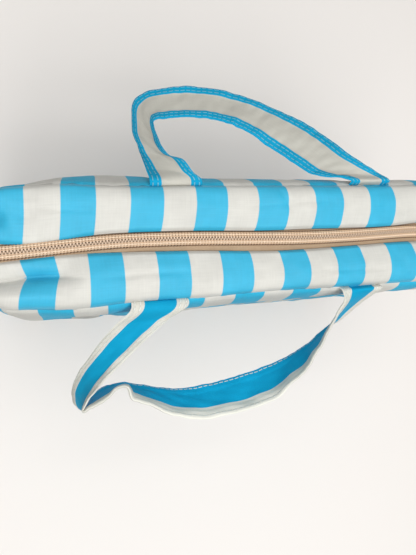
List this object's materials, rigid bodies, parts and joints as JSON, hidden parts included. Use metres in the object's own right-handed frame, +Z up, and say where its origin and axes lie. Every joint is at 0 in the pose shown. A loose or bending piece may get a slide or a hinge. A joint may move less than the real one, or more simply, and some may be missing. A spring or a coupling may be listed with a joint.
{
  "type": "weekender bag",
  "caption": "Long slim zip-top bag of light-blue and cream striped fabric, with two flat strap handles that swing at the top seams and a coil zip whose slider parts the top strips.",
  "frame": {"origin": "centre of the base on the surface the bag stands on", "axes": "+X along the bag towards the closed end of the zip, +Y to the back, +Z up"},
  "size_m": [0.4752, 0.2954, 0.354],
  "materials": {
    "striped_fabric": "satin",
    "strap_fabric": "satin",
    "lining": "matte",
    "zip_tape": "matte",
    "zip_coil": "satin",
    "zip_metal": "polished",
    "board": "matte"
  },
  "bodies": {
    "bag": {"front_panel": "striped_fabric", "back_panel": "striped_fabric", "left_gusset": "striped_fabric", "right_gusset": "striped_fabric", "base_panel": "striped_fabric", "base_board": "board", "lining_front": "lining", "lining_back": "lining", "lining_left": "lining", "lining_right": "lining", "lining_base": "lining", "inner_pocket": "lining", "back_handle_tails": "strap_fabric", "front_handle_tails": "strap_fabric", "zip_left_stop": "zip_metal", "zip_right_stops": "zip_metal", "back_top_strip_left_end": "striped_fabric", "back_top_strip_right_end": "striped_fabric", "back_zip_tape_left_end": "zip_tape", "back_zip_tape_right_end": "zip_tape", "back_zip_coil_left_end": "zip_coil", "back_zip_coil_right_end": "zip_coil", "front_top_strip_left_end": "striped_fabric", "front_top_strip_right_end": "striped_fabric", "front_zip_tape_left_end": "zip_tape", "front_zip_tape_right_end": "zip_tape", "front_zip_coil_left_end": "zip_coil", "front_zip_coil_right_end": "zip_coil"},
    "front_flap": {"front_top_strip": "striped_fabric", "front_zip_tape": "zip_tape", "front_zip_coil": "zip_coil"},
    "back_flap": {"back_top_strip": "striped_fabric", "back_zip_tape": "zip_tape", "back_zip_coil": "zip_coil"},
    "slider": {"zip_slider": "zip_metal"},
    "pull": {"zip_pull": "zip_metal"},
    "front_handle": {"front_handle_strap": "strap_fabric"},
    "back_handle": {"back_handle_strap": "strap_fabric"}
  },
  "joints": [
    {"name": "zip_slide", "type": "slide", "parent": "bag", "child": "slider", "axis": [-1, 0, 0], "range_m": [0, 0.401], "deforming": ["front_zip_coil_right_end", "back_zip_coil_right_end"]},
    {"name": "pull_turn", "type": "hinge", "parent": "slider", "child": "pull", "pos_m": [0.203, 0, 0.35265], "axis": [0, -1, 0], "range_deg": [0, 170]},
    {"name": "front_strip_fold", "type": "hinge", "parent": "bag", "child": "front_flap", "pos_m": [0, -0.044, 0.35], "axis": [1, 0, 0], "range_deg": [0, 65.5]},
    {"name": "back_strip_fold", "type": "hinge", "parent": "bag", "child": "back_flap", "pos_m": [0, 0.044, 0.35], "axis": [-1, 0, 0], "range_deg": [0, 65.5]},
    {"name": "front_handle_swing", "type": "hinge", "parent": "bag", "child": "front_handle", "pos_m": [0, -0.0458, 0.351], "axis": [-1, 0, 0], "range_deg": [0, 110]},
    {"name": "back_handle_swing", "type": "hinge", "parent": "bag", "child": "back_handle", "pos_m": [0, 0.0458, 0.351], "axis": [1, 0, 0], "range_deg": [0, 110]}
  ],
  "couplings": [
    {"joint": "front_strip_fold", "follows": "zip_slide", "rad_per_m": 2.829},
    {"joint": "back_strip_fold", "follows": "zip_slide", "rad_per_m": 2.829}
  ]
}
